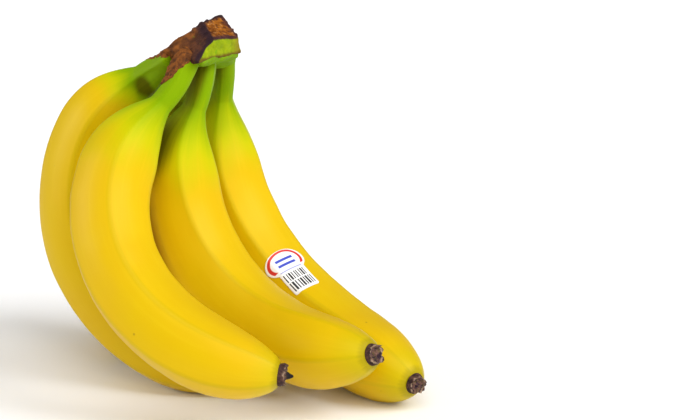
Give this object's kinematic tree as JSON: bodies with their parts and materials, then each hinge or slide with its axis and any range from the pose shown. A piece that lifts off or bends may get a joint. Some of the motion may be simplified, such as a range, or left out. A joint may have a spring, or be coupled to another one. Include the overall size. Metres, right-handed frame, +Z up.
{
  "type": "bunch of bananas",
  "caption": "Bunch of curved yellow bananas with green necks joined at a cut woody crown, standing on its own fruit, with a small plain label",
  "frame": {"origin": "middle of the footprint of the bounding box, on the surface that the bunch stands on", "axes": "+Z up towards the crown. -Y is the side that the bananas' blossom ends point to, with +X to the right as seen from there. The bunch is a little longer along Y than along X."},
  "size_m": [0.1912, 0.1974, 0.1765],
  "materials": {
    "skin": null,
    "crown": "rough plant tissue, green outside and brown where cut or torn",
    "dried": "dried, nearly black flower remnant",
    "label": "smooth coated paper"
  },
  "bodies": {
    "root": {"crown": "crown", "banana_back_left": "skin", "banana_front_left": "skin", "banana_middle": "skin", "banana_right": "skin", "banana_rear": "skin", "blossom_end_back_left": "dried", "blossom_end_front_left": "dried", "blossom_end_middle": "dried", "blossom_end_right": "dried", "blossom_end_rear": "dried", "label": "label"}
  },
  "joints": []
}
